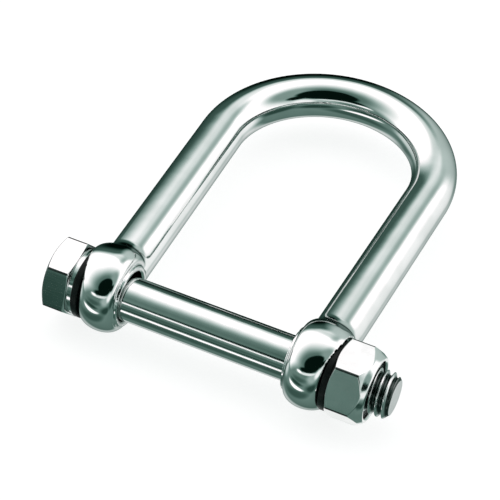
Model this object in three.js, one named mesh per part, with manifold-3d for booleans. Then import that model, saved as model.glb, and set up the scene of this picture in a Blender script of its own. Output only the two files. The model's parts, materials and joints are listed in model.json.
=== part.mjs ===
// Wide dee shackle: a round-bar bow with two eyes, closed by a hexagon-head bolt, two washers and a
// self-locking nut.
//
// Millimetres. +X runs along the bolt from its head to its nut, +Y runs from the bolt to the crown of the
// bow, and +Z is up, square to the plane of the bow. The model is drawn about the bolt's axis, then moved so
// that its origin is at the bottom centre of its box: under the middle of its plan, level with the underside
// of the eyes that it stands on.

import * as THREE from 'three';
import { mergeVertices } from 'three/addons/utils/BufferGeometryUtils.js';
import Module from 'manifold-3d';

const wasm = await Module();
wasm.setup();

// Driving dimensions, in millimetres and degrees.

const BAR_DIAMETER = 10.6;          // the bow's round bar
const CROWN_RADIUS = 26.05;         // centreline of the crown
const CROWN_CENTRE_Y = 59.8;        // from the bolt's axis
const LEG_SPACING = 48.8;           // between the legs' centrelines, at the eyes

const JAW_WIDTH = 38.4;             // between the bosses on the eyes' inner faces
const BOSS_DIAMETER = 14;
const BOSS_HEIGHT = 0.7;
const EYE_WIDTH = 8.2;              // from an eye's inner face to its seat, without the boss
const EYE_DIAMETER = 19.5;
const EYE_CENTRE_Y = 1.05;          // from the bolt's axis
const EYE_FACE_DIAMETER = 14.8;     // where the round rim meets the flat faces
const EYE_SWELL = 1.6;              // how far an eye's outer side stands out towards the leg
const SWELL_RANGE = [-1.1, 0.2];    // cosine of the angle from the leg, from no swell to the full one
const BORE_DIAMETER = 11.4;
const BORE_CENTRE_Y = 0.6;          // the bolt rests on the open side of its bores, away from the crown
const BORE_CHAMFER = 0.25;
const SEAT_DIAMETER = 16;           // sunk into the swell round each washer

const WASHER_DIAMETER = 15.4;
const WASHER_THICKNESS = 1.4;
const WASHER_BORE_DIAMETER = 11.4;
const SEAT_GAP = 0.1;               // play on both sides of each washer

const THREAD_DIAMETER = 10;         // also the plain shank's diameter
const THREAD_PITCH = 1.5;
const THREAD_DEPTH = 0.92;
const CREST_FLAT = 1 / 8;           // of the pitch
const ROOT_FLAT = 1 / 4;
const THREAD_START = 27.5;          // from the middle of the jaw, inside the eye on the nut's side
const BOLT_END = 42.4;
const BOLT_END_DIAMETER = 7.6;
const BOLT_END_CHAMFER = 1.1;

const HEX_WIDTH = 15.7;             // across flats, on the head and on the nut
const CHAMFER_SLOPE = Math.tan(THREE.MathUtils.degToRad(30));

const HEAD_HEIGHT = 6.8;
const HEAD_FACE_DIAMETER = 15.2;    // circle that the end chamfer leaves flat
const HEAD_CORNER_ANGLE = 10.75;
const HEAD_LOWER_CHAMFER = 0.3;
const HEAD_COLLAR_DIAMETER = 14.8;  // bearing collar under the hexagon
const HEAD_COLLAR_HEIGHT = 1;

const NUT_LENGTH = 8.3;
const NUT_CORNER_ANGLE = 1.8;
const NUT_SEAT_DIAMETER = 15.6;
const NUT_SHOULDER = 5.5;           // length of the hexagon's corners, up to the domed collar
const NUT_DOME_RISE = 1.5;
const NUT_DOME_DIAMETER = 15.8;
const NUT_COLLAR_DIAMETER = 15.2;
const NUT_COLLAR_ROUND = 0.7;
const NUT_BORE_DIAMETER = 10.4;     // plain, clear of the bolt's thread
const NUT_BORE_FLARE = 1.6;
const LIP_DIAMETER = 12.6;          // opening that the rolled lip leaves
const LIP_THICKNESS = 0.6;
const RECESS_DIAMETER = 13.4;
const RECESS_DEPTH = 2.7;           // from the end of the nut to the floor of the insert's recess

const INSERT_CLEARANCE = 0.3;
const INSERT_BORE_DIAMETER = 10.4;

// Steps of the round surfaces.

const BAR_SIDES = 20;
const BAR_STEPS = 64;
const ROUND_SIDES = 32;
const EYE_ARC_STEPS = 5;
const THREAD_SIDES = 24;
const THREAD_STEPS_PER_TURN = 6;

const STEEL = { color: 0xc9cdca, metalness: 1, roughness: 0.12 };
const NYLON = { color: 0x3b423f, metalness: 0, roughness: 0.5 };
const BLACK_NYLON = { color: 0x1d2422, metalness: 0, roughness: 0.4 };

const EYE_INNER_X = JAW_WIDTH / 2 + BOSS_HEIGHT;
const EYE_CENTRE_X = EYE_INNER_X + EYE_WIDTH / 2;
const SEAT_X = EYE_INNER_X + EYE_WIDTH;
const WASHER_X = SEAT_X + SEAT_GAP;
const CLAMP_X = WASHER_X + WASHER_THICKNESS + SEAT_GAP;
const HEAD_END_X = -CLAMP_X - HEAD_HEIGHT;
const NUT_END_X = CLAMP_X + NUT_LENGTH;
const HEX_CORNER_RADIUS = HEX_WIDTH / 2 / Math.cos(Math.PI / 6);
const OVERSHOOT = 1;                // how far a cutter reaches past the face that it cuts

// Solids for cuts and joins.

function solid(geometry) {
  geometry.deleteAttribute('normal');
  geometry.deleteAttribute('uv');
  const merged = mergeVertices(geometry);
  return new wasm.Manifold(new wasm.Mesh({
    numProp: 3,
    vertProperties: new Float32Array(merged.attributes.position.array),
    triVerts: new Uint32Array(merged.index.array),
  }));
}

function part(name, shape, material) {
  const { vertProperties, triVerts } = shape.getMesh();
  const geometry = new THREE.BufferGeometry();
  geometry.setAttribute('position', new THREE.BufferAttribute(vertProperties, 3));
  geometry.setIndex(new THREE.BufferAttribute(triVerts, 1));
  geometry.computeVertexNormals();
  const mesh = new THREE.Mesh(geometry, new THREE.MeshStandardMaterial(material));
  mesh.name = name;
  return mesh;
}

// A round body about the X axis from [x, radius] pairs, which run towards +X on the outside.

function turned(profile, sides = ROUND_SIDES) {
  const points = profile.map(([x, radius]) => new THREE.Vector2(radius, x));
  return new THREE.LatheGeometry(points, sides).rotateZ(-Math.PI / 2);
}

// A hexagonal bar about the X axis. Angles about X run from +Y towards +Z.

function hexagonalBar(cornerAngle, startX, endX) {
  const corners = Array.from({ length: 6 }, (_, i) => {
    const angle = THREE.MathUtils.degToRad(cornerAngle + 60 * i);
    return new THREE.Vector2(-Math.sin(angle), Math.cos(angle)).multiplyScalar(HEX_CORNER_RADIUS);
  });
  return new THREE.ExtrudeGeometry(new THREE.Shape(corners), { depth: endX - startX, bevelEnabled: false })
    .rotateY(Math.PI / 2)
    .translate(startX, 0, 0);
}

// The bow's centreline: up one leg, round the crown, and down the other leg. The legs leave the eyes at the
// leg spacing and spread a little, so that they run into the crown's arc without a corner.

class BowCentreline extends THREE.Curve {
  constructor() {
    super();
    this.foot = new THREE.Vector2(LEG_SPACING / 2, BORE_CENTRE_Y);
    const toCentre = new THREE.Vector2(0, CROWN_CENTRE_Y).sub(this.foot);
    this.legLength = Math.sqrt(toCentre.lengthSq() - CROWN_RADIUS ** 2);
    this.spread = toCentre.angle() - Math.atan2(CROWN_RADIUS, this.legLength);
    this.arcLength = CROWN_RADIUS * (2 * Math.PI - 2 * this.spread);
  }

  getPoint(t, target = new THREE.Vector3()) {
    const half = this.legLength + this.arcLength / 2;
    const fromCrown = (t - 0.5) * 2 * half;
    const beyondArc = Math.abs(fromCrown) - this.arcLength / 2;
    const arcAngle = Math.min(Math.abs(fromCrown), this.arcLength / 2) / CROWN_RADIUS;
    const x = CROWN_RADIUS * Math.sin(arcAngle) - Math.max(beyondArc, 0) * Math.cos(this.spread);
    const y = CROWN_CENTRE_Y + CROWN_RADIUS * Math.cos(arcAngle)
      - Math.max(beyondArc, 0) * Math.sin(this.spread);
    return target.set(Math.sign(fromCrown) * x, y, 0);
  }
}

// One eye, on the +X side: flat faces with a round rim between them. Its outer half swells towards the leg.

function eye() {
  const half = EYE_WIDTH / 2;
  const face = EYE_FACE_DIAMETER / 2;
  const rise = EYE_DIAMETER / 2 - face;
  const rim = Array.from({ length: 2 * EYE_ARC_STEPS + 1 }, (_, i) => {
    const angle = (Math.PI / 2) * (i / EYE_ARC_STEPS - 1);
    return [half * Math.sin(angle), face + rise * Math.cos(angle)];
  });
  const geometry = turned([[-half, 0], ...rim, [half, 0]]);
  const position = geometry.attributes.position;
  for (let i = 0; i < position.count; i++) {
    const outward = Math.max(position.getX(i), 0) / half;
    const spoke = Math.hypot(position.getY(i), position.getZ(i));
    const towardsLeg = spoke > 0 ? position.getY(i) / spoke : 0;
    const swell = EYE_SWELL * THREE.MathUtils.smoothstep(towardsLeg, ...SWELL_RANGE);
    position.setX(i, position.getX(i) + outward * swell);
  }
  return geometry.translate(EYE_CENTRE_X, EYE_CENTRE_Y, 0);
}

// A round body about the bore's axis, on the +X side.

function aboutBore(diameter, startX, endX) {
  return turned([[startX, 0], [startX, diameter / 2], [endX, diameter / 2], [endX, 0]])
    .translate(0, BORE_CENTRE_Y, 0);
}

function eyeBore() {
  const radius = BORE_DIAMETER / 2;
  const flare = radius + BORE_CHAMFER + OVERSHOOT;
  const innerX = JAW_WIDTH / 2;
  return turned([
    [innerX - OVERSHOOT, 0],
    [innerX - OVERSHOOT, flare],
    [innerX + BORE_CHAMFER, radius],
    [SEAT_X - BORE_CHAMFER, radius],
    [SEAT_X + OVERSHOOT, flare],
    [SEAT_X + OVERSHOOT, 0],
  ]).translate(0, BORE_CENTRE_Y, 0);
}

function makeBow() {
  const section = new THREE.Shape().absarc(0, 0, BAR_DIAMETER / 2, 0, 2 * Math.PI);
  const bar = new THREE.ExtrudeGeometry(section, {
    extrudePath: new BowCentreline(),
    steps: BAR_STEPS,
    curveSegments: BAR_SIDES / 2,
  });
  const finishEye = (bow) => bow
    .add(solid(eye()))
    .subtract(solid(aboutBore(SEAT_DIAMETER, SEAT_X, SEAT_X + BAR_DIAMETER)))
    .add(solid(aboutBore(BOSS_DIAMETER, JAW_WIDTH / 2, EYE_CENTRE_X)))
    .subtract(solid(eyeBore()));
  return finishEye(finishEye(solid(bar)).mirror([1, 0, 0]));
}

// The right-hand thread: a crest follows x = pitch * angle / (2 * pi). It fades in over its first turn.

function threadRadius(x, angle) {
  const turns = x / THREAD_PITCH - angle / (2 * Math.PI);
  const fromCrest = Math.abs(turns - Math.round(turns)) * THREAD_PITCH;
  const crestHalf = THREAD_PITCH * CREST_FLAT / 2;
  const flank = THREAD_PITCH * (1 - CREST_FLAT - ROOT_FLAT) / 2;
  const depth = THREAD_DEPTH * THREE.MathUtils.clamp((fromCrest - crestHalf) / flank, 0, 1);
  return THREAD_DIAMETER / 2 - depth * THREE.MathUtils.smoothstep(x, THREAD_START, THREAD_START + THREAD_PITCH);
}

function threadedShank() {
  const radius = THREAD_DIAMETER / 2;
  const chamferX = BOLT_END - BOLT_END_CHAMFER;
  const rows = Math.round((chamferX - THREAD_START) / THREAD_PITCH * THREAD_STEPS_PER_TURN);
  const threaded = Array.from({ length: rows + 1 }, (_, i) => [
    THREE.MathUtils.lerp(THREAD_START, chamferX, i / rows), radius,
  ]);
  const middleX = BOLT_END - BOLT_END_CHAMFER / 2;
  const geometry = turned([
    [HEAD_END_X + HEAD_HEIGHT / 2, 0],
    [HEAD_END_X + HEAD_HEIGHT / 2, radius],
    ...threaded,
    [middleX, (radius + BOLT_END_DIAMETER / 2) / 2],
    [BOLT_END, BOLT_END_DIAMETER / 2],
    [BOLT_END, 0],
  ], THREAD_SIDES);
  const position = geometry.attributes.position;
  for (let i = 0; i < position.count; i++) {
    const x = position.getX(i);
    const y = position.getY(i);
    const z = position.getZ(i);
    if (x > THREAD_START && x < BOLT_END) {
      const scale = Math.min(1, threadRadius(x, Math.atan2(z, y)) / Math.hypot(y, z));
      position.setXYZ(i, x, y * scale, z * scale);
    }
  }
  return geometry;
}

function makeBolt() {
  const corner = HEX_CORNER_RADIUS + OVERSHOOT;
  const face = HEAD_FACE_DIAMETER / 2;
  const collar = HEAD_COLLAR_DIAMETER / 2;
  const underside = -CLAMP_X - HEAD_COLLAR_HEIGHT;
  const envelope = turned([
    [HEAD_END_X, 0],
    [HEAD_END_X, face],
    [HEAD_END_X + (corner - face) * CHAMFER_SLOPE, corner],
    [underside - HEAD_LOWER_CHAMFER, corner],
    [underside - HEAD_LOWER_CHAMFER, HEX_CORNER_RADIUS],
    [underside, HEX_CORNER_RADIUS - HEAD_LOWER_CHAMFER / CHAMFER_SLOPE],
    [underside, collar],
    [-CLAMP_X, collar],
    [-CLAMP_X, 0],
  ]);
  const hexagon = hexagonalBar(HEAD_CORNER_ANGLE, HEAD_END_X - OVERSHOOT, OVERSHOOT - CLAMP_X);
  return solid(hexagon).intersect(solid(envelope)).add(solid(threadedShank()));
}

// The nut: a chamfered hexagon with a domed collar, whose end is rolled in over the insert.

function makeNut() {
  const corner = HEX_CORNER_RADIUS + OVERSHOOT;
  const seat = NUT_SEAT_DIAMETER / 2;
  const collar = NUT_COLLAR_DIAMETER / 2;
  const bore = NUT_BORE_DIAMETER / 2;
  const recess = RECESS_DIAMETER / 2;
  const lip = LIP_DIAMETER / 2;
  const shoulderX = CLAMP_X + NUT_SHOULDER;
  const envelope = turned([
    [CLAMP_X, 0],
    [CLAMP_X, seat],
    [CLAMP_X + (corner - seat) * CHAMFER_SLOPE, corner],
    [shoulderX, corner],
    [shoulderX, HEX_CORNER_RADIUS],
    [shoulderX + NUT_DOME_RISE, NUT_DOME_DIAMETER / 2],
    [NUT_END_X - NUT_COLLAR_ROUND, collar],
    [NUT_END_X - NUT_COLLAR_ROUND / 3, collar - NUT_COLLAR_ROUND / 3],
    [NUT_END_X, collar - NUT_COLLAR_ROUND],
    [NUT_END_X, 0],
  ]);
  const hole = turned([
    [CLAMP_X - OVERSHOOT, 0],
    [CLAMP_X - OVERSHOOT, bore + NUT_BORE_FLARE],
    [CLAMP_X + NUT_BORE_FLARE - OVERSHOOT, bore],
    [NUT_END_X - RECESS_DEPTH, bore],
    [NUT_END_X - RECESS_DEPTH, recess],
    [NUT_END_X - LIP_THICKNESS, recess],
    [NUT_END_X - LIP_THICKNESS, lip],
    [NUT_END_X + OVERSHOOT, lip],
    [NUT_END_X + OVERSHOOT, 0],
  ]);
  const hexagon = hexagonalBar(NUT_CORNER_ANGLE, CLAMP_X - OVERSHOOT, NUT_END_X + OVERSHOOT);
  return solid(hexagon).intersect(solid(envelope)).subtract(solid(hole));
}

// A ring about the bolt's axis.

function ring(startX, endX, outer, inner) {
  return solid(turned([
    [startX, inner],
    [startX, outer],
    [endX, outer],
    [endX, inner],
    [startX, inner],
  ]));
}

// The insert: a plastic ring that fills the nut's recess and grips the thread.

function makeInsert() {
  return ring(
    NUT_END_X - RECESS_DEPTH + INSERT_CLEARANCE,
    NUT_END_X - LIP_THICKNESS - INSERT_CLEARANCE,
    RECESS_DIAMETER / 2 - INSERT_CLEARANCE,
    INSERT_BORE_DIAMETER / 2,
  );
}

// The washers, one between each eye and what is tightened against it.

function makeWasher(startX) {
  return ring(startX, startX + WASHER_THICKNESS, WASHER_DIAMETER / 2, WASHER_BORE_DIAMETER / 2);
}

const pieces = new THREE.Group();
pieces.add(
  part('bow', makeBow(), STEEL),
  part('bolt', makeBolt(), STEEL),
  part('lock_nut', makeNut(), STEEL),
  part('nut_insert', makeInsert(), NYLON),
  part('head_washer', makeWasher(-WASHER_X - WASHER_THICKNESS), BLACK_NYLON),
  part('nut_washer', makeWasher(WASHER_X), BLACK_NYLON),
);

const frontY = EYE_CENTRE_Y - EYE_DIAMETER / 2;
const crownY = CROWN_CENTRE_Y + CROWN_RADIUS + BAR_DIAMETER / 2;
pieces.position.set(-(HEAD_END_X + BOLT_END) / 2, -(frontY + crownY) / 2, EYE_DIAMETER / 2);

const shackle = new THREE.Group();
shackle.add(pieces);

export default shackle;
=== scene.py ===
"""Wide dee shackle in polished stainless steel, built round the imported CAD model."""

import json
import math

import bpy
import numpy as np
from mathutils import Matrix, Vector


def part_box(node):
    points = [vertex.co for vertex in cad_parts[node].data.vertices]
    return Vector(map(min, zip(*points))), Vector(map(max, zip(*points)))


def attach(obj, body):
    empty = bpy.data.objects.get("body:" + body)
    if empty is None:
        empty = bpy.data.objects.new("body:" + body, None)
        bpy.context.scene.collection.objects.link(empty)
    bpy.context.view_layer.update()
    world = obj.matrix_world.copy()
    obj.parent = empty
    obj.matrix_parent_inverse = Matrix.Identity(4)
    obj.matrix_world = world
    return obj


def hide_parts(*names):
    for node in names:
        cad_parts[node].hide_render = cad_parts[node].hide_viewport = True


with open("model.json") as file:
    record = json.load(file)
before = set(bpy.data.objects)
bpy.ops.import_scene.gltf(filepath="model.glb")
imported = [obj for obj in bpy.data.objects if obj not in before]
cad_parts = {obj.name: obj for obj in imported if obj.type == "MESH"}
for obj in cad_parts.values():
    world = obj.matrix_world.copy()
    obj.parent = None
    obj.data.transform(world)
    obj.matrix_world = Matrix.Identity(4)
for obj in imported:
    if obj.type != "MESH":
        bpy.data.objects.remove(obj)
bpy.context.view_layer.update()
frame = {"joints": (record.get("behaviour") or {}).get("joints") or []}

# Shapes are worked out in millimetres about the bolt's axis: x = 0 in the middle of the jaw, +X towards the
# nut, +Y towards the crown, +Z up. new_piece turns them into metres in the frame.

MM = 0.001
TINY = 1e-9    # keeps a length from being zero
LEAST_REACH = 1e-6
NUT_JOINT = next(j for j in frame["joints"] if j["name"] == "nut_turn")
BOW_LOW, BOW_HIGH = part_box("bow")
ORIGIN = Vector(((BOW_LOW.x + BOW_HIGH.x) / 2, NUT_JOINT["pos_m"][1], NUT_JOINT["pos_m"][2]))


def local_box(node):
    """Lowest and highest corner of a CAD node, in millimetres about the bolt's axis."""
    low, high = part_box(node)
    return (low - ORIGIN) / MM, (high - ORIGIN) / MM


BOW_FRONT, BOW_BACK = local_box("bow")
BOLT_START, BOLT_STOP = (corner.x for corner in local_box("bolt"))
NUT_START, NUT_STOP = (corner.x for corner in local_box("lock_nut"))
INSERT_START, INSERT_STOP = (corner.x for corner in local_box("nut_insert"))

# Bow

BAR_RADIUS = 5.3
LEG_FOOT_X = 24.4
EYE_X = 24.0
EYE_RADIUS = BOW_BACK.z
EYE_Y = BOW_FRONT.y + EYE_RADIUS
EYE_HALF_WIDTH = 4.1
EYE_FACE_RADIUS = 7.4
EYE_SWELL = 1.6
SWELL_FROM, SWELL_TO = -1.1, 0.2    # cosine of the angle from the leg
BORE_Y = 0.6
BORE_RADIUS = 5.7
BORE_EASE = 0.6
BOSS_RADIUS = 7.0
BOSS_FACE_X = 19.2
BOSS_EASE = 0.3
SEAT_RADIUS = 8.0
SEAT_EASE = 0.5
CROWN_RADIUS = 26.05
CROWN_Y = BOW_BACK.y - BAR_RADIUS - CROWN_RADIUS
EYE_FILLET = 3.2
BOW_STEP = 0.42
SMOOTHING_SHARE = 0.6    # of the way from a point to the middle of its neighbours
LONGEST_MOVE = 0.3

# Bolt

SHANK_RADIUS = 5.0
PITCH = 1.5
THREAD_DEPTH = 0.92
THREAD_START = 27.5
THREAD_ROW = PITCH / 20
CREST_SHARE = 0.125    # share of the half pitch that is flat at the crest
FLANK_SHARE = 0.65    # share that slopes, and the rest is the root
FLANK_CURVE = 0.25    # 0 gives straight flanks
BOLT_TIP_RADIUS = 3.8
BOLT_TIP_CHAMFER = 1.1
FAN_RADIUS = 0.4    # of the fan of faces in the middle of each end
HEX_WIDTH = 15.7
HEX_EDGE = 0.5
HEX_CORNER_RADIUS = (HEX_WIDTH / 2 - HEX_EDGE) / math.cos(math.pi / 6) + HEX_EDGE
HEAD_HEIGHT = 6.8
HEAD_FACE_RADIUS = 7.6
HEAD_RIM_WIDTH = 0.9
HEAD_DISH_DEPTH = 0.12
HEAD_CORNER_ANGLE = 10.75
HEAD_COLLAR_RADIUS = 7.4
HEAD_COLLAR_HEIGHT = 1.0
CHAMFER_SLOPE = math.tan(math.radians(30))

# Nut, insert and washers

NUT_CORNER_ANGLE = 1.8
NUT_SEAT_RADIUS = 7.8
NUT_SHOULDER = 5.5
DOME_RISE = 1.5
DOME_RADIUS = 7.9
COLLAR_RADIUS = 7.6
COLLAR_EDGE = 0.7
LIP_RADIUS = 6.3
LIP_THICKNESS = 0.6
RECESS_RADIUS = 6.7
RECESS_DEPTH = 2.7
THREAD_CLEARANCE = 0.07
NUT_SEAT_FLARE = 0.9
NUT_RECESS_FLARE = 0.4
INSERT_CLEARANCE = 0.03
INSERT_BITE = 0.45    # how far its bore reaches inside the shank's surface
WASHER_BORE_RADIUS = 5.7
ROUND_COLUMNS = 96


# ---------------------------------------------------------------- meshes

def new_piece(name, points, faces):
    """An object from points in millimetres about the bolt's axis, with smooth shading."""
    mesh = bpy.data.meshes.new(name)
    mesh.from_pydata((points * MM + np.array(ORIGIN)).tolist(), [], faces)
    mesh.shade_smooth()
    piece = bpy.data.objects.new(name, mesh)
    bpy.context.scene.collection.objects.link(piece)
    return piece


def surface_net(field, low, high, step):
    """Points and quads of a closed surface where field(points) is zero, one point in each cell that it
    crosses. The box from low to high must clear the surface by a cell."""
    counts = np.ceil((np.array(high) - np.array(low)) / step).astype(int) + 1
    axes = [low[i] + step * np.arange(counts[i]) for i in range(3)]
    grid = np.stack(np.meshgrid(*axes, indexing="ij"), -1)
    value = field(grid.reshape(-1, 3)).reshape(counts)
    total = np.zeros((counts.prod(), 3))
    hits = np.zeros(counts.prod())
    quads = []
    for a in range(3):
        b, c = (a + 1) % 3, (a + 2) % 3
        start = np.take(value, range(counts[a] - 1), a)
        end = np.take(value, range(1, counts[a]), a)
        edges = np.argwhere((start < 0) != (end < 0))
        v0, v1 = start[tuple(edges.T)], end[tuple(edges.T)]
        crossing = edges.astype(float)
        crossing[:, a] += v0 / (v0 - v1)
        crossing = np.array(low) + step * crossing
        ring = []
        for shift_b, shift_c in ((0, 0), (-1, 0), (-1, -1), (0, -1)):
            cell = edges.copy()
            cell[:, b] += shift_b
            cell[:, c] += shift_c
            index = np.ravel_multi_index(cell.T, counts)
            np.add.at(total, index, crossing)
            np.add.at(hits, index, 1)
            ring.append(index)
        ring = np.stack(ring, 1)
        ring[v0 > 0] = ring[v0 > 0][:, ::-1]
        quads.append(ring)
    used, faces = np.unique(np.concatenate(quads), return_inverse=True)
    return total[used] / hits[used, None], faces.reshape(-1, 4)


def gradient(field, points, reach=0.002):
    """Unit gradient and length of the gradient of field, by central differences."""
    slope = np.stack([
        (field(points + reach * axis) - field(points - reach * axis)) / (2 * reach) for axis in np.eye(3)
    ], 1)
    length = np.linalg.norm(slope, axis=1, keepdims=True)
    return slope / length, length


def settle(field, points, faces, rounds=8):
    """Evens out the points of a mesh and puts each one exactly on the surface where field is zero."""
    ends = np.concatenate([faces[:, [i, (i + 1) % 4]] for i in range(4)])
    degree = np.bincount(ends[:, 0], minlength=len(points))[:, None]
    for _ in range(rounds):
        near = np.zeros_like(points)
        np.add.at(near, ends[:, 0], points[ends[:, 1]])
        points = points + SMOOTHING_SHARE * (near / degree - points)
        for _ in range(3):
            normal, length = gradient(field, points)
            move = (field(points)[:, None] / length).clip(-LONGEST_MOVE, LONGEST_MOVE)
            points = points - normal * move
    return points, gradient(field, points)[0]


def ring_mesh(name, rows, closed):
    """A mesh from rows of points round the bolt's axis, listed from the head's end along the outside. The
    ends of an open profile are filled with fans, and a closed one joins its last row to its first."""
    count, columns = rows.shape[:2]
    points = rows.reshape(-1, 3)
    index = np.arange(count * columns).reshape(count, columns)
    if closed:
        index = np.vstack([index, index[:1]])
    around = np.roll(index, -1, 1)
    quads = np.stack([index[:-1], index[1:], around[1:], around[:-1]], -1).reshape(-1, 4)
    faces = quads.tolist()
    if not closed:
        centres = np.array([rows[0].mean(0), rows[-1].mean(0)])
        points = np.vstack([points, centres])
        first, last = len(points) - 2, len(points) - 1
        faces += [[first, index[0, i], around[0, i]] for i in range(columns)]
        faces += [[last, around[-1, i], index[-1, i]] for i in range(columns)]
    piece = new_piece(name, points, faces)
    weighted = piece.modifiers.new("face weighted normals", "WEIGHTED_NORMAL")
    weighted.mode = "FACE_AREA"
    weighted.weight = 100
    return piece


# ---------------------------------------------------------------- bow

def leg_direction():
    """Unit vector up the right leg, from its foot in the eye and tangent to the crown's arc."""
    to_centre = np.array([-LEG_FOOT_X, CROWN_Y - BORE_Y])
    length = np.linalg.norm(to_centre)
    turn = math.asin(CROWN_RADIUS / length)
    angle = math.atan2(to_centre[1], to_centre[0]) - turn
    return np.array([math.cos(angle), math.sin(angle)])


def smooth(share):
    """Eases a share between 0 and 1 at both ends."""
    return share * share * (3 - 2 * share)


def soft_min(a, b, reach):
    """The lower of two fields, with a fillet about as wide as reach where they cross."""
    reach = np.maximum(reach, LEAST_REACH)
    overlap = np.maximum(reach - np.abs(a - b), 0) / reach
    return np.minimum(a, b) - overlap * overlap * reach / 4


def bow_field(points):
    """Negative inside the bow: bar and eyes, blended where they meet at an angle, with the eyes' bosses,
    less the washers' seats and the bores."""
    side = np.sign(points[:, 0] + TINY)
    x, y, z = np.abs(points[:, 0]), points[:, 1], points[:, 2]
    up = leg_direction()
    out = np.array([up[1], -up[0]])
    from_crown = np.stack([x, y - CROWN_Y], 1)
    radial = np.linalg.norm(from_crown, axis=1) + TINY
    on_arc = from_crown @ up > 0
    offset = np.where(on_arc, radial, from_crown @ out) - CROWN_RADIUS
    away = np.where(on_arc[:, None], from_crown / radial[:, None], out)
    reach = np.hypot(offset, z) + TINY
    bar = np.maximum(reach - BAR_RADIUS, BORE_Y - y)
    bar_normal = np.stack([side * away[:, 0] * offset / reach, away[:, 1] * offset / reach, z / reach], 1)

    spoke = np.hypot(y - EYE_Y, z) + TINY
    towards_leg = (((y - EYE_Y) / spoke - SWELL_FROM) / (SWELL_TO - SWELL_FROM)).clip(0, 1)
    swell = EYE_SWELL * smooth(towards_leg)
    half_width = EYE_HALF_WIDTH + np.where(x > EYE_X, swell, 0)
    across = (x - EYE_X) / half_width
    rise = np.maximum(spoke - EYE_FACE_RADIUS, 0) / (EYE_RADIUS - EYE_FACE_RADIUS)
    level = np.hypot(across, rise) + TINY
    slope_x = across / half_width
    slope_r = rise / (EYE_RADIUS - EYE_FACE_RADIUS)
    slope = np.hypot(slope_x, slope_r) + TINY
    eye = (level - 1) * level / slope
    eye_normal = np.stack([
        side * slope_x / slope,
        slope_r / slope * (y - EYE_Y) / spoke,
        slope_r / slope * z / spoke,
    ], 1)

    crossing = 1 - np.sum(bar_normal * eye_normal, 1).clip(0, 1)
    body = soft_min(bar, eye, EYE_FILLET * crossing)
    from_bolt = np.hypot(y - BORE_Y, z)
    seat = np.maximum(from_bolt - SEAT_RADIUS, EYE_X + EYE_HALF_WIDTH - x)
    body = -soft_min(-body, seat, SEAT_EASE)
    boss = np.maximum(-soft_min(BOSS_RADIUS - from_bolt, x - BOSS_FACE_X, BOSS_EASE), x - EYE_X)
    body = soft_min(body, boss, BOSS_EASE)
    return -soft_min(-body, from_bolt - BORE_RADIUS, BORE_EASE)


def make_bow():
    """The bow as one closed skin."""
    margin = Vector((2 * BOW_STEP,) * 3)
    points, faces = surface_net(bow_field, BOW_FRONT - margin, BOW_BACK + margin, BOW_STEP)
    points, normals = settle(bow_field, points, faces)
    piece = new_piece("bow_forging", points, faces.tolist())
    piece.data.normals_split_custom_set_from_vertices(normals.tolist())
    return piece


# ---------------------------------------------------------------- bolt, nut and insert

def hexagon_outline(corner_angle, flat_steps=12, corner_steps=5):
    """Angle about the bolt's axis and distance from it for points round a hexagon with eased corners."""
    apothem = HEX_WIDTH / 2
    centre = HEX_CORNER_RADIUS - HEX_EDGE
    half_flat = centre * math.sin(math.pi / 6)
    outline = []
    for i in range(6):
        facing = math.radians(corner_angle + 30 + 60 * i)
        for t in np.linspace(-half_flat, half_flat, flat_steps, endpoint=False):
            outline.append(complex(apothem, t) * np.exp(1j * facing))
        corner = centre * np.exp(1j * (facing + math.pi / 6))
        for t in np.linspace(-math.pi / 6, math.pi / 6, corner_steps, endpoint=False):
            outline.append(corner + HEX_EDGE * np.exp(1j * (facing + math.pi / 6 + t)))
    outline = np.array(outline)
    return np.angle(outline), np.abs(outline)


def thread_radius(x, angle):
    """Radius of the right-hand thread's surface, with rounded roots and crests."""
    turns = x / PITCH - angle / (2 * math.pi)
    from_crest = np.abs(turns - np.round(turns)) * 2
    flank = np.clip((from_crest - CREST_SHARE) / FLANK_SHARE, 0, 1)
    depth = THREAD_DEPTH * ((1 - FLANK_CURVE) * flank + FLANK_CURVE * smooth(flank))
    fade = np.clip((x - THREAD_START) / PITCH, 0, 1)
    return SHANK_RADIUS - depth * fade


def eased(profile, steps=4):
    """Rows of (x, radius) along a profile of (x, radius, ease) corners. Each corner is replaced by a curve
    that starts and ends ease millimetres from it. x and radius may differ from column to column."""
    rows = []
    corners = [(np.asarray(x, float), np.asarray(r, float), ease) for x, r, ease in profile]
    shape = np.broadcast_shapes(*(x.shape for x, _, _ in corners), *(r.shape for _, r, _ in corners))
    at = [np.stack([np.broadcast_to(x, shape), np.broadcast_to(r, shape)], -1) for x, r, _ in corners]
    for i, (_, _, ease) in enumerate(corners):
        if ease == 0 or i in (0, len(corners) - 1):
            rows.append(at[i])
            continue
        before, after = at[i - 1] - at[i], at[i + 1] - at[i]
        size_before = np.linalg.norm(before, axis=-1, keepdims=True) + TINY
        size_after = np.linalg.norm(after, axis=-1, keepdims=True) + TINY
        start = at[i] + before / size_before * np.minimum(ease, 0.45 * size_before)
        end = at[i] + after / size_after * np.minimum(ease, 0.45 * size_after)
        for t in np.linspace(0, 1, steps + 1):
            rows.append((1 - t) ** 2 * start + 2 * t * (1 - t) * at[i] + t * t * end)
    return rows


def level_row(x, radius):
    """A row of (x, radius) with the same x in every column."""
    return np.stack([np.full_like(radius, x), radius], 1)


def as_points(rows, angle):
    """Points in space from rows of (x, radius) at each column's angle."""
    placed = []
    for row in rows:
        row = np.broadcast_to(row, (len(angle), 2))
        placed.append(np.stack([row[:, 0], row[:, 1] * np.cos(angle), row[:, 1] * np.sin(angle)], 1))
    return np.array(placed)


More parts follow.
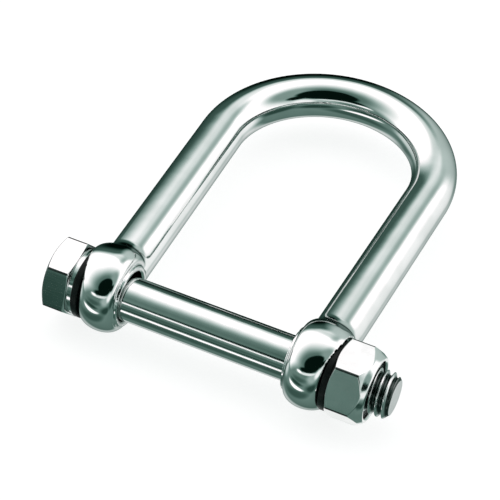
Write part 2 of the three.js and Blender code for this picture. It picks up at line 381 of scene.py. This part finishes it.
def make_bolt():
    """Bolt, from the dished face of its head to the chamfered end of its thread."""
    angle, hexagon = hexagon_outline(HEAD_CORNER_ANGLE)
    seat = BOLT_START + HEAD_HEIGHT
    underside = seat - HEAD_COLLAR_HEIGHT
    lower_edge = underside - 0.35 * (hexagon - HEAD_COLLAR_RADIUS) / (hexagon.max() - HEAD_COLLAR_RADIUS)
    head = eased([
        (BOLT_START + HEAD_DISH_DEPTH, FAN_RADIUS, 0),
        (BOLT_START + HEAD_DISH_DEPTH, HEAD_FACE_RADIUS - HEAD_RIM_WIDTH - 0.5, 0.4),
        (BOLT_START, HEAD_FACE_RADIUS - HEAD_RIM_WIDTH, 0.2),
        (BOLT_START, HEAD_FACE_RADIUS, 0.12),
        (BOLT_START + (hexagon - HEAD_FACE_RADIUS) * CHAMFER_SLOPE, hexagon, 0.16),
        (lower_edge, hexagon, 0.14),
        (underside, HEAD_COLLAR_RADIUS + 0.5 * (hexagon - HEAD_COLLAR_RADIUS), 0.2),
        (underside, HEAD_COLLAR_RADIUS, 0.06),
        (seat, HEAD_COLLAR_RADIUS, 0.1),
        (seat, SHANK_RADIUS + 0.3, 0.25),
        (seat + 0.5, SHANK_RADIUS, 0.3),
        (THREAD_START - 0.3, SHANK_RADIUS, 0),
    ])
    chamfer = BOLT_STOP - BOLT_TIP_CHAMFER
    for x in np.arange(THREAD_START, BOLT_STOP - 0.1, THREAD_ROW):
        blank = np.interp(x, [chamfer, BOLT_STOP], [SHANK_RADIUS, BOLT_TIP_RADIUS])
        radius = np.minimum(thread_radius(x, angle), blank)
        head.append(level_row(x, radius))
    end = eased([
        (BOLT_STOP - 0.1, BOLT_TIP_RADIUS + 0.1, 0),
        (BOLT_STOP, BOLT_TIP_RADIUS, 0.12),
        (BOLT_STOP, FAN_RADIUS, 0),
    ])
    return ring_mesh("hex_bolt", as_points(head + end[1:], angle), closed=False)


def make_nut():
    """Nut, round its outside, its lip and recess, and back through its thread."""
    angle, hexagon = hexagon_outline(NUT_CORNER_ANGLE)
    recess_floor = NUT_STOP - RECESS_DEPTH
    shoulder = NUT_START + NUT_SHOULDER
    collar = NUT_STOP - COLLAR_EDGE
    dome_x = np.array([shoulder, shoulder + DOME_RISE, collar])
    dome_r = np.array([hexagon.max() + 0.2, DOME_RADIUS, COLLAR_RADIUS])
    edge = np.interp(-hexagon, -dome_r, dome_x)
    outside = eased([
        (NUT_START, SHANK_RADIUS + 1.2, 0),
        (NUT_START, NUT_SEAT_RADIUS, 0.15),
        (NUT_START + (hexagon - NUT_SEAT_RADIUS).clip(0.05) * CHAMFER_SLOPE, hexagon, 0.16),
        (edge, hexagon, 0.2),
        (np.maximum(edge + 0.2, dome_x[1]), np.minimum(hexagon - 0.05, DOME_RADIUS), 0.3),
        (collar, COLLAR_RADIUS, 0.3),
        (NUT_STOP, COLLAR_RADIUS - 0.45, 0.35),
        (NUT_STOP, LIP_RADIUS + 0.25, 0.25),
        (NUT_STOP - 0.3, LIP_RADIUS, 0.15),
        (NUT_STOP - LIP_THICKNESS, LIP_RADIUS, 0.05),
        (NUT_STOP - LIP_THICKNESS, RECESS_RADIUS, 0),
        (recess_floor, RECESS_RADIUS, 0),
        (recess_floor, SHANK_RADIUS + 0.5, 0),
    ])
    bore = []
    for x in np.arange(recess_floor - 0.1, NUT_START + 0.1, -THREAD_ROW):
        flare = max(NUT_SEAT_FLARE - (x - NUT_START), NUT_RECESS_FLARE - (recess_floor - x))
        radius = np.maximum(thread_radius(x, angle) + THREAD_CLEARANCE, SHANK_RADIUS + flare)
        bore.append(level_row(x, radius))
    return ring_mesh("hex_lock_nut", as_points(outside + bore, angle), closed=True)


def make_insert():
    """Ring in the nut's collar, with the thread pressed into its bore."""
    angle = np.linspace(0, 2 * math.pi, ROUND_COLUMNS, endpoint=False)
    outer = RECESS_RADIUS - 0.05
    outside = eased([
        (INSERT_START, SHANK_RADIUS + 0.6, 0),
        (INSERT_START, outer, 0.15),
        (INSERT_STOP, outer, 0.3),
        (INSERT_STOP, SHANK_RADIUS + 0.35, 0.3),
        (INSERT_STOP - 0.2, SHANK_RADIUS + 0.02, 0),
    ])
    bore = []
    for x in np.arange(INSERT_STOP - 0.25, INSERT_START, -THREAD_ROW):
        radius = np.maximum(thread_radius(x, angle) + INSERT_CLEARANCE, SHANK_RADIUS - INSERT_BITE)
        bore.append(level_row(x, radius))
    return ring_mesh("locking_ring", as_points(outside + bore, angle), closed=True)


def make_washer(name, node):
    """Flat washer that fills the box of a CAD node."""
    angle = np.linspace(0, 2 * math.pi, ROUND_COLUMNS, endpoint=False)
    low, high = local_box(node)
    outside = eased([
        (low.x, WASHER_BORE_RADIUS, 0),
        (low.x, high.z, 0.25),
        (high.x, high.z, 0.25),
        (high.x, WASHER_BORE_RADIUS, 0.1),
        (low.x, WASHER_BORE_RADIUS, 0.1),
    ])
    return ring_mesh(name, as_points(outside[:-1], angle), closed=True)


bow = make_bow()
bolt = make_bolt()
nut = make_nut()
insert = make_insert()
washer_by_head = make_washer("black_washer_head_side", "head_washer")
washer_by_nut = make_washer("black_washer_nut_side", "nut_washer")

for piece, node, body, slot in (
    (bow, "bow", "bow", "polished_bow"),
    (bolt, "bolt", "bolt", "polished_bolt"),
    (nut, "lock_nut", "lock_nut", "polished_nut"),
    (insert, "nut_insert", "nut_insert", "nylon_insert"),
    (washer_by_head, "head_washer", "bolt", "black_washer"),
    (washer_by_nut, "nut_washer", "nut_insert", "black_washer"),
):
    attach(piece, body)
    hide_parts(node)


# ---------------------------------------------------------------- camera

VIEW_AZIMUTH = math.radians(23.0)
VIEW_ELEVATION = math.radians(43.57)
VIEW_ROLL = math.radians(3.38)
VIEW_DISTANCE = 0.3952    # metres
VIEW_LENS = 128.3
VIEW_TARGET = ORIGIN + Vector((-2.82, 25.79, 0)) * MM


def make_camera():
    """Camera at the view that shows the head's flats and the end of the thread."""
    data = bpy.data.cameras.new("camera")
    data.lens = VIEW_LENS
    data.sensor_width = 36
    data.clip_start = 0.01
    data.clip_end = 10
    camera = bpy.data.objects.new("camera", data)
    bpy.context.scene.collection.objects.link(camera)
    back = Vector((
        math.sin(VIEW_AZIMUTH) * math.cos(VIEW_ELEVATION),
        -math.cos(VIEW_AZIMUTH) * math.cos(VIEW_ELEVATION),
        math.sin(VIEW_ELEVATION),
    ))
    level = (-back).to_track_quat("-Z", "Y").to_matrix()
    rotation = level @ Matrix.Rotation(VIEW_ROLL, 3, "Z")
    camera.matrix_world = Matrix.Translation(VIEW_TARGET + back * VIEW_DISTANCE) @ rotation.to_4x4()
    bpy.context.scene.camera = camera


make_camera()


# ---------------------------------------------------------------- shader nodes

class Nodes:
    """Adds shader nodes to a tree. An input is either a value or another node's output socket."""

    def __init__(self, tree):
        self.tree = tree

    def add(self, kind, inputs=None, **settings):
        node = self.tree.nodes.new(kind)
        for name, value in settings.items():
            setattr(node, name, value)
        for key, value in (inputs or {}).items():
            if isinstance(value, bpy.types.NodeSocket):
                self.tree.links.new(value, node.inputs[key])
            else:
                node.inputs[key].default_value = value
        return node

    def math(self, operation, a, b=0.0, clamp=False):
        return self.add("ShaderNodeMath", {0: a, 1: b}, operation=operation, use_clamp=clamp).outputs[0]

    def vector(self, operation, a, b):
        return self.add("ShaderNodeVectorMath", {0: a, 1: b}, operation=operation).outputs[0]

    def dot(self, a, b):
        return self.add("ShaderNodeVectorMath", {0: a, 1: b}, operation="DOT_PRODUCT").outputs["Value"]

    def length(self, a, b):
        squares = self.math("ADD", self.math("MULTIPLY", a, a), self.math("MULTIPLY", b, b))
        return self.math("SQRT", squares)

    def ramp(self, value, low, high, to_low=0.0, to_high=1.0):
        inputs = {"Value": value, "From Min": low, "From Max": high, "To Min": to_low, "To Max": to_high}
        node = self.add("ShaderNodeMapRange", inputs, interpolation_type="SMOOTHSTEP")
        return node.outputs["Result"]

    def mix(self, factor, a, b):
        node = self.add("ShaderNodeMix", {"Factor": factor, "A": a, "B": b}, data_type="RGBA")
        return node.outputs["Result"]

    def noise(self, place, per_mm, detail=2.0):
        """Grain with this many blotches to the millimetre along each axis."""
        stretched = self.vector("MULTIPLY", place, per_mm)
        node = self.add("ShaderNodeTexNoise", {"Vector": stretched, "Scale": 1.0, "Detail": detail})
        return node.outputs["Fac"]

    def bump(self, height, depth, below=None):
        """Normal of a relief that is this many millimetres deep, on top of another relief."""
        inputs = {"Height": height, "Distance": depth * MM}
        if below is not None:
            inputs["Normal"] = below
        return self.add("ShaderNodeBump", inputs).outputs["Normal"]


# ---------------------------------------------------------------- materials

def start_material(name):
    """A new material's nodes, its shader and the position in millimetres about the bolt's axis."""
    material = bpy.data.materials.new(name)
    material.use_nodes = True
    nodes = Nodes(material.node_tree)
    place = nodes.add("ShaderNodeTexCoord").outputs["Object"]
    place = nodes.vector("SUBTRACT", place, ORIGIN)
    place = nodes.vector("DIVIDE", place, (MM, MM, MM))
    return material, nodes, material.node_tree.nodes["Principled BSDF"], place


def plug(nodes, shader, **inputs):
    """Links or sets the shader's inputs. An underscore in a name stands for a space."""
    for name, value in inputs.items():
        socket = shader.inputs[name.replace("_", " ")]
        if isinstance(value, bpy.types.NodeSocket):
            nodes.tree.links.new(value, socket)
        else:
            socket.default_value = value


STEEL_LIGHT = (0.92, 0.935, 0.93, 1)
STEEL_GREY = (0.83, 0.855, 0.845, 1)
# painted shade, with wear, for the ring round the bow's bore
STEEL_WORN_AND_SHADED = (0.34, 0.38, 0.365, 1)
STEEL_PAINTED_DARK = (0.06, 0.08, 0.074, 1)    # painted shade in the threads' roots and in the nut's bore, and painted dark outlines along the corners
BOW_RIM = (0.3, 0.36, 0.345, 1)    # tint of the reflection near the outlines
BOLT_RIM = (0.45, 0.5, 0.49, 1)
NUT_RIM = (0.8, 0.83, 0.82, 1)


def polished_steel(nodes, blotches):
    """Colour of polished steel, a little greyer in blotches."""
    return nodes.mix(nodes.ramp(blotches, 0.35, 0.65), STEEL_GREY, STEEL_LIGHT)


def hexagon_corners(nodes, from_axis):
    """1 along the corners of a hexagon on the bolt's axis, 0 elsewhere."""
    return nodes.ramp(from_axis, HEX_CORNER_RADIUS - 0.09, HEX_CORNER_RADIUS - 0.05)


def polished_bow():
    """Mirror polish with slow waves, tumbling marks, and rougher rings where the bolt and washers rub,
    darkened with painted shade.
    """
    material, nodes, shader, place = start_material("polished_bow")
    axis = nodes.add("ShaderNodeSeparateXYZ", {0: place}).outputs
    from_bolt = nodes.length(axis["Y"], axis["Z"])
    blotches = nodes.noise(place, (0.11, 0.11, 0.11))
    marks = nodes.noise(place, (2.6, 0.9, 2.6), 4.0)
    scratches = nodes.ramp(nodes.noise(place, (5.5, 0.5, 5.5)), 0.62, 0.72)
    ragged = nodes.math("ADD", from_bolt, nodes.math("MULTIPLY", marks, 0.6))
    # Ring round the bore: rougher where the bolt and washers rub, and darker from painted shade in the
    # crevice.
    worn_and_shaded = nodes.ramp(ragged, BORE_RADIUS + 0.2, BORE_RADIUS + 1.0, 1.0, 0.0)
    colour = polished_steel(nodes, blotches)
    colour = nodes.mix(nodes.math("MULTIPLY", worn_and_shaded, 0.6), colour, STEEL_WORN_AND_SHADED)
    roughness = nodes.ramp(marks, 0.3, 0.75, 0.02, 0.07)
    roughness = nodes.math("ADD", roughness, nodes.math("MULTIPLY", scratches, 0.05))
    roughness = nodes.math("ADD", roughness, nodes.math("MULTIPLY", worn_and_shaded, 0.25))
    relief = nodes.bump(blotches, 0.035)
    relief = nodes.bump(marks, 0.0011, relief)
    relief = nodes.bump(scratches, 0.0006, relief)
    plug(nodes, shader, Base_Color=colour, Metallic=1.0, Roughness=roughness, Normal=relief)
    plug(nodes, shader, Specular_Tint=BOW_RIM)
    return material


def polished_bolt():
    """Turned marks round the shank, drawn marks along the head, rougher corners and chamfer edge with
    painted dark outlines, painted shade in the thread's roots, and a sawn end.
    """
    material, nodes, shader, place = start_material("polished_bolt")
    axis = nodes.add("ShaderNodeSeparateXYZ", {0: place}).outputs
    from_axis = nodes.length(axis["Y"], axis["Z"])
    seat = BOLT_START + HEAD_HEIGHT
    on_head = nodes.ramp(axis["X"], seat, seat + 0.2, 1.0, 0.0)
    on_thread = nodes.ramp(axis["X"], THREAD_START, THREAD_START + PITCH)
    on_end = nodes.ramp(axis["X"], BOLT_STOP - 0.08, BOLT_STOP - 0.02)
    blotches = nodes.noise(place, (0.2, 0.2, 0.2))
    unrolled = nodes.add("ShaderNodeCombineXYZ", {0: axis["X"], 1: from_axis}).outputs[0]
    turned = nodes.noise(unrolled, (7.0, 0.4, 1.0))
    drawn = nodes.noise(place, (0.25, 5.0, 5.0), 3.0)
    sawn = nodes.noise(place, (1.0, 4.5, 0.6), 3.0)
    marks = nodes.mix(on_head, turned, drawn)
    marks = nodes.mix(on_end, marks, sawn)
    # Painted shade in the roots of the thread, which are also rougher.
    painted_root_shade = nodes.ramp(from_axis, SHANK_RADIUS - THREAD_DEPTH, SHANK_RADIUS - 0.25, 1.0, 0.0)
    painted_root_shade = nodes.math("MULTIPLY", painted_root_shade, on_thread)
    painted_root_shade = nodes.math("MULTIPLY", painted_root_shade, nodes.math("SUBTRACT", 1.0, on_end))
    # Painted dark outline along the edge of the head's chamfer.
    beyond_face = nodes.math("SUBTRACT", axis["X"], BOLT_START)
    cone = nodes.math("MULTIPLY", nodes.math("SUBTRACT", from_axis, HEAD_FACE_RADIUS), CHAMFER_SLOPE)
    off_cone = nodes.math("ABSOLUTE", nodes.math("SUBTRACT", beyond_face, cone))
    chamfer = nodes.ramp(off_cone, 0.06, 0.14, 0.8, 0.0)
    # Painted dark outlines along the hexagon's corners and the chamfer's edge, which are also a little
    # rougher.
    painted_outline = nodes.math("MAXIMUM", hexagon_corners(nodes, from_axis), chamfer)
    colour = polished_steel(nodes, blotches)
    colour = nodes.mix(painted_outline, colour, STEEL_PAINTED_DARK)
    colour = nodes.mix(painted_root_shade, colour, STEEL_PAINTED_DARK)
    roughness = nodes.ramp(marks, 0.3, 0.75, 0.06, 0.13)
    roughness = nodes.math("ADD", roughness, nodes.math("MULTIPLY", painted_outline, 0.1))
    roughness = nodes.math("ADD", roughness, nodes.math("MULTIPLY", painted_root_shade, 0.15))
    roughness = nodes.math("ADD", roughness, nodes.math("MULTIPLY", on_end, 0.22))
    relief = nodes.bump(blotches, 0.012)
    relief = nodes.bump(marks, 0.0012, relief)
    plug(nodes, shader, Base_Color=colour, Metallic=1.0, Roughness=roughness, Normal=relief)
    plug(nodes, shader, Specular_Tint=BOLT_RIM)
    return material


def polished_nut():
    """Drawn marks along the flats, rougher corners with painted dark outlines, and painted shade on the
    thread in the bore.
    """
    material, nodes, shader, place = start_material("polished_nut")
    axis = nodes.add("ShaderNodeSeparateXYZ", {0: place}).outputs
    from_axis = nodes.length(axis["Y"], axis["Z"])
    blotches = nodes.noise(place, (0.22, 0.22, 0.22))
    drawn = nodes.noise(place, (0.25, 5.0, 5.0), 3.0)
    # Painted dark outlines along the hexagon's corners, which are also a little rougher.
    painted_outline = hexagon_corners(nodes, from_axis)
    # Painted shade on the thread in the bore.
    inside = nodes.ramp(from_axis, SHANK_RADIUS + 0.1, SHANK_RADIUS + 0.8, 1.0, 0.0)
    colour = polished_steel(nodes, blotches)
    colour = nodes.mix(painted_outline, colour, STEEL_PAINTED_DARK)
    colour = nodes.mix(inside, colour, STEEL_PAINTED_DARK)
    roughness = nodes.ramp(drawn, 0.3, 0.75, 0.07, 0.16)
    roughness = nodes.math("ADD", roughness, nodes.math("MULTIPLY", painted_outline, 0.1))
    relief = nodes.bump(blotches, 0.01)
    relief = nodes.bump(drawn, 0.0012, relief)
    plug(nodes, shader, Base_Color=colour, Metallic=1.0, Roughness=roughness, Normal=relief)
    plug(nodes, shader, Specular_Tint=NUT_RIM)
    return material


def nylon(name, dark, light, roughness, grain):
    """Satin moulded nylon, mottled, with a fine grain and paler rubbed edges."""
    material, nodes, shader, place = start_material(name)
    mottle = nodes.noise(place, (0.5, 0.5, 0.5), 3.0)
    fine = nodes.noise(place, (grain, grain, grain), 3.0)
    grazing = nodes.add("ShaderNodeLayerWeight", {"Blend": 0.2}).outputs["Facing"]
    edge = nodes.ramp(grazing, 0.6, 1.0)
    colour = nodes.mix(nodes.ramp(mottle, 0.3, 0.7), dark, light)
    rough = nodes.ramp(fine, 0.3, 0.7, roughness - 0.06, roughness + 0.08)
    rough = nodes.math("SUBTRACT", rough, nodes.math("MULTIPLY", edge, 0.05))
    relief = nodes.bump(mottle, 0.02)
    relief = nodes.bump(fine, 0.008, relief)
    plug(nodes, shader, Base_Color=colour, Roughness=rough, Specular_IOR_Level=0.2, Normal=relief)
    return material


black_nylon = nylon("black_nylon", (0.002, 0.004, 0.0035, 1), (0.005, 0.009, 0.008, 1), 0.4, 3.0)
for piece, material in (
    (bow, polished_bow()),
    (bolt, polished_bolt()),
    (nut, polished_nut()),
    (insert, nylon("green_nylon", (0.006, 0.012, 0.010, 1), (0.018, 0.028, 0.025, 1), 0.4, 2.5)),
    (washer_by_head, black_nylon),
    (washer_by_nut, black_nylon),
):
    piece.data.materials.append(material)


# ---------------------------------------------------------------- floor

FLOOR_REACH = 3    # metres to each side


def make_floor():
    """Pale table that lights the part from below and doesn't show in its reflections."""
    mesh = bpy.data.meshes.new("floor")
    corners = [(-1, -1, 0), (1, -1, 0), (1, 1, 0), (-1, 1, 0)]
    mesh.from_pydata([FLOOR_REACH * Vector(corner) for corner in corners], [], [(0, 1, 2, 3)])
    floor = bpy.data.objects.new("floor", mesh)
    bpy.context.scene.collection.objects.link(floor)
    floor.visible_glossy = False
    material, nodes, shader, place = start_material("pale_floor")
    speckle = nodes.noise(place, (0.4, 0.4, 0.4), 3.0)
    colour = nodes.mix(speckle, (0.34, 0.345, 0.345, 1), (0.36, 0.36, 0.36, 1))
    plug(nodes, shader, Base_Color=colour, Roughness=0.9, Specular_IOR_Level=0.0)
    plug(nodes, shader, Emission_Color=(1, 1, 1, 1), Emission_Strength=0.84)    # lit from below
    mesh.materials.append(material)


make_floor()


# ---------------------------------------------------------------- studio

# The light comes from a white tent round the back, the left and overhead, with grey and black cards in
# front. Directions are in degrees: azimuth 0 looks towards -Y and 90 towards +X.

WHITE = 1.25
HORIZON = (-0.04, 0.05)    # height of a direction, over which the table below fades into the tent above
TABLE_LEVEL = 0.2
RED_FALL, BLUE_FALL = 1.3, 1.08    # powers that make the darker surfaces greener

# azimuth, elevation, half width, half height, tilt, softness, level
CARDS = (
    (-95, -14, 30, 12, 0, 0.5, 0.75),        # pale end of the table, left
    (-178, -49, 36, 15, 0, 0.5, 1.1),        # pale table, back
    (-150, -66, 30, 15, 0, 0.5, 1.1),        # pale table below
    (135, -12, 26, 22, 0, 0.4, 1.0),         # pale table, right
    (-159, -3, 34, 43, 0, 0.22, 0.10),       # dark screen behind
    (-158, -3, 15, 21, 0, 0.5, 0.004),       # gap in the screen
    (172, 46, 24, 7, 0, 0.6, 0.8),           # top edge of the screen
    (168, 5, 20, 38, 0, 0.35, 0.58),         # grey screen, back right
    (157, 40, 8, 12, 0, 0.8, 0.45),          # its upper corner
    (0, -15, 66, 45, 0, 0.2, 0.22),          # grey front of the table
    (18, 48, 55, 41, 0, 0.5, 0.16),          # front of the tent, darker towards the opening
    (76, 48, 18, 22, 0, 0.5, 0.32),          # its paler right part
    (23, 43, 30, 23, -4, 0.1, 0.006),        # opening for the camera
    (60, 28, 10, 8, 0, 0.3, 0.006),          # its lower right corner
    (-1, 26, 21, 6, 0, 0.3, 0.006),          # its lower left corner
    (30, 5, 20, 12, 0, 0.5, 0.45),           # light under the opening
    (50, 9, 13, 10, 0, 0.5, 1.0),            # its bright end
    (8, 17, 32, 3, 0, 0.5, 0.85),            # its bright upper edge
    (-22, 17, 9, 2.5, 0, 0.5, WHITE),        # its thin left end
    (35, -22, 22, 10, 0, 0.5, 0.05),         # dark front edge
    (80, -15, 22, 12, 0, 0.4, 0.06),         # dark right edge
    (-15, -2, 22, 6, 0, 0.6, 0.10),          # dark middle
    (-20, -45, 34, 12, 0, 0.5, 0.09),        # dark below the front
    (-22, -13, 20, 4.5, -8, 0.5, 0.05),      # shadow over the strip light
    (-24, -25, 24, 4.5, -14, 0.3, WHITE),    # strip light
)


def studio_axes(azimuth, elevation, tilt):
    """Unit vectors to the middle of a card, along its width and up its height."""
    around, up, turn = map(math.radians, (azimuth, elevation, tilt))
    facing = Vector((math.sin(around) * math.cos(up), -math.cos(around) * math.cos(up), math.sin(up)))
    level = Vector((math.cos(around), math.sin(around), 0))
    upright = facing.cross(level)
    along = math.cos(turn) * level + math.sin(turn) * upright
    return facing, along, facing.cross(along)


def add_card(nodes, below, direction, azimuth, elevation, half_width, half_height, tilt, softness, level):
    """Brightness of the studio with an oval card laid over what it shows so far."""
    facing, along, upright = studio_axes(azimuth, elevation, tilt)
    across = nodes.math("ARCTAN2", nodes.dot(direction, along), nodes.dot(direction, facing))
    upward = nodes.math("ARCSINE", nodes.dot(direction, upright))
    x = nodes.math("DIVIDE", across, math.radians(half_width))
    y = nodes.math("DIVIDE", upward, math.radians(half_height))
    return nodes.ramp(nodes.length(x, y), 1 - softness, 1 + softness, level, below)


def make_world():
    """The studio's light, which the camera itself sees as plain white."""
    world = bpy.data.worlds.new("studio")
    bpy.context.scene.world = world
    world.use_nodes = True
    world.node_tree.nodes.clear()
    nodes = Nodes(world.node_tree)
    direction = nodes.add("ShaderNodeTexCoord").outputs["Generated"]
    height = nodes.add("ShaderNodeSeparateXYZ", {0: direction}).outputs["Z"]
    level = nodes.ramp(height, *HORIZON, TABLE_LEVEL, WHITE)
    for card in CARDS:
        level = add_card(nodes, level, direction, *card)
    red = nodes.math("POWER", level, RED_FALL)
    blue = nodes.math("POWER", level, BLUE_FALL)
    seen = nodes.add("ShaderNodeCombineColor", {0: red, 1: level, 2: blue}).outputs["Color"]
    by_camera = nodes.add("ShaderNodeLightPath").outputs["Is Camera Ray"]
    colour = nodes.mix(by_camera, seen, (1, 1, 1, 1))
    background = nodes.add("ShaderNodeBackground", {"Color": colour})
    nodes.add("ShaderNodeOutputWorld", {"Surface": background.outputs[0]})
    bpy.context.scene.view_settings.view_transform = "Standard"


make_world()
